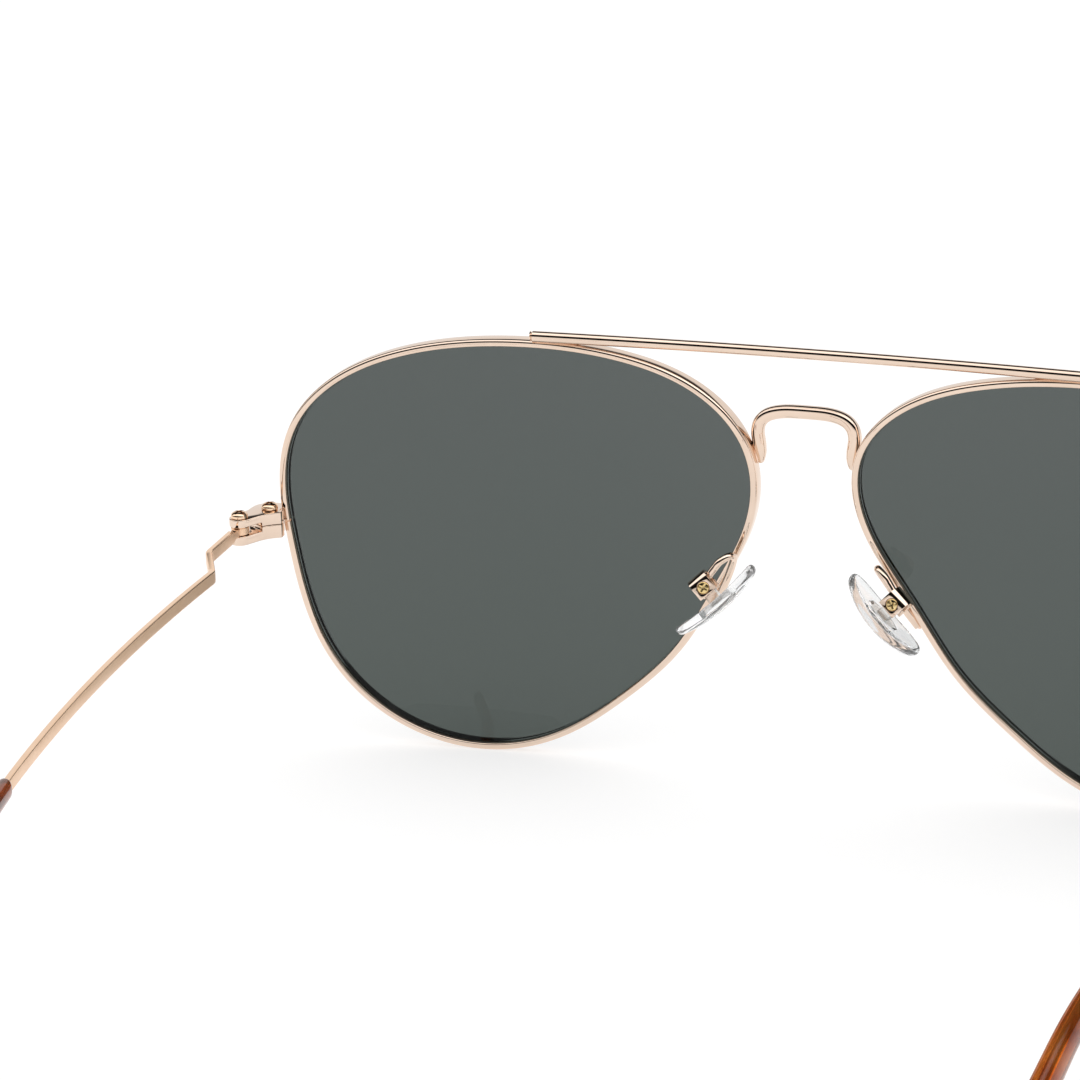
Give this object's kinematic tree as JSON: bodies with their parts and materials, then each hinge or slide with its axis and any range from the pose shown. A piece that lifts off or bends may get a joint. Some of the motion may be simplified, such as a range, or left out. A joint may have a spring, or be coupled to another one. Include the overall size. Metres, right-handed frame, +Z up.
{
  "type": "aviator sunglasses",
  "caption": "Metal aviator sunglasses with dished teardrop lenses, a slim brow bar over an arched bridge, folding temples and screw-on clear nose pads.",
  "frame": {"origin": "middle of the bounding box on the surface that the lower rims and the temple tips stand on", "axes": "+X towards the wearer's left, +Y back along the open temples, so the lenses face -Y, and +Z up"},
  "size_m": [0.151, 0.1558, 0.0581],
  "materials": {
    "frame_metal": "polished pale rose-gold plating",
    "hinge_screw_metal": "polished rose-gold plated screw heads",
    "pad_screw_brass": "bright turned brass",
    "lens_glass": "polished neutral grey-green sun lens",
    "pad_clear": "clear glossy soft vinyl",
    "pad_core_clear": "clear moulded plastic",
    "tip_brown": "polished translucent amber-brown acetate"
  },
  "bodies": {
    "front": {"brow_bar": "frame_metal", "bridge": "frame_metal", "rim_left": "frame_metal", "lens_left": "lens_glass", "hinge_block_upper_left": "frame_metal", "hinge_block_lower_left": "frame_metal", "rim_lock_screw_left": "hinge_screw_metal", "hinge_screw_left": "hinge_screw_metal", "pad_arm_left": "frame_metal", "pad_box_left": "frame_metal", "pad_screw_left": "pad_screw_brass", "rim_right": "frame_metal", "lens_right": "lens_glass", "hinge_block_upper_right": "frame_metal", "hinge_block_lower_right": "frame_metal", "rim_lock_screw_right": "hinge_screw_metal", "hinge_screw_right": "hinge_screw_metal", "pad_arm_right": "frame_metal", "pad_box_right": "frame_metal", "pad_screw_right": "pad_screw_brass"},
    "temple_left_arm": {"temple_left": "frame_metal", "temple_tip_left": "tip_brown"},
    "temple_right_arm": {"temple_right": "frame_metal", "temple_tip_right": "tip_brown"},
    "nose_pad_left_rocker": {"nose_pad_left": "pad_clear", "pad_core_left": "pad_core_clear"},
    "nose_pad_right_rocker": {"nose_pad_right": "pad_clear", "pad_core_right": "pad_core_clear"}
  },
  "joints": [
    {"name": "temple_left_fold", "type": "hinge", "parent": "front", "child": "temple_left_arm", "pos_m": [0.0742, -0.06346, 0.02974], "axis": [0, 0.1028, 0.9947], "range_deg": [0, 84]},
    {"name": "temple_right_fold", "type": "hinge", "parent": "front", "child": "temple_right_arm", "pos_m": [-0.0742, -0.06346, 0.02974], "axis": [0, -0.1028, -0.9947], "range_deg": [0, 79]},
    {"name": "nose_pad_left_rock", "type": "hinge", "parent": "front", "child": "nose_pad_left_rocker", "pos_m": [0.0124, -0.06694, 0.02658], "axis": [-0.1074, 0.9779, 0.1795], "range_deg": [-12, 12]},
    {"name": "nose_pad_right_rock", "type": "hinge", "parent": "front", "child": "nose_pad_right_rocker", "pos_m": [-0.0124, -0.06694, 0.02658], "axis": [-0.1074, -0.9779, -0.1795], "range_deg": [-12, 12]}
  ]
}
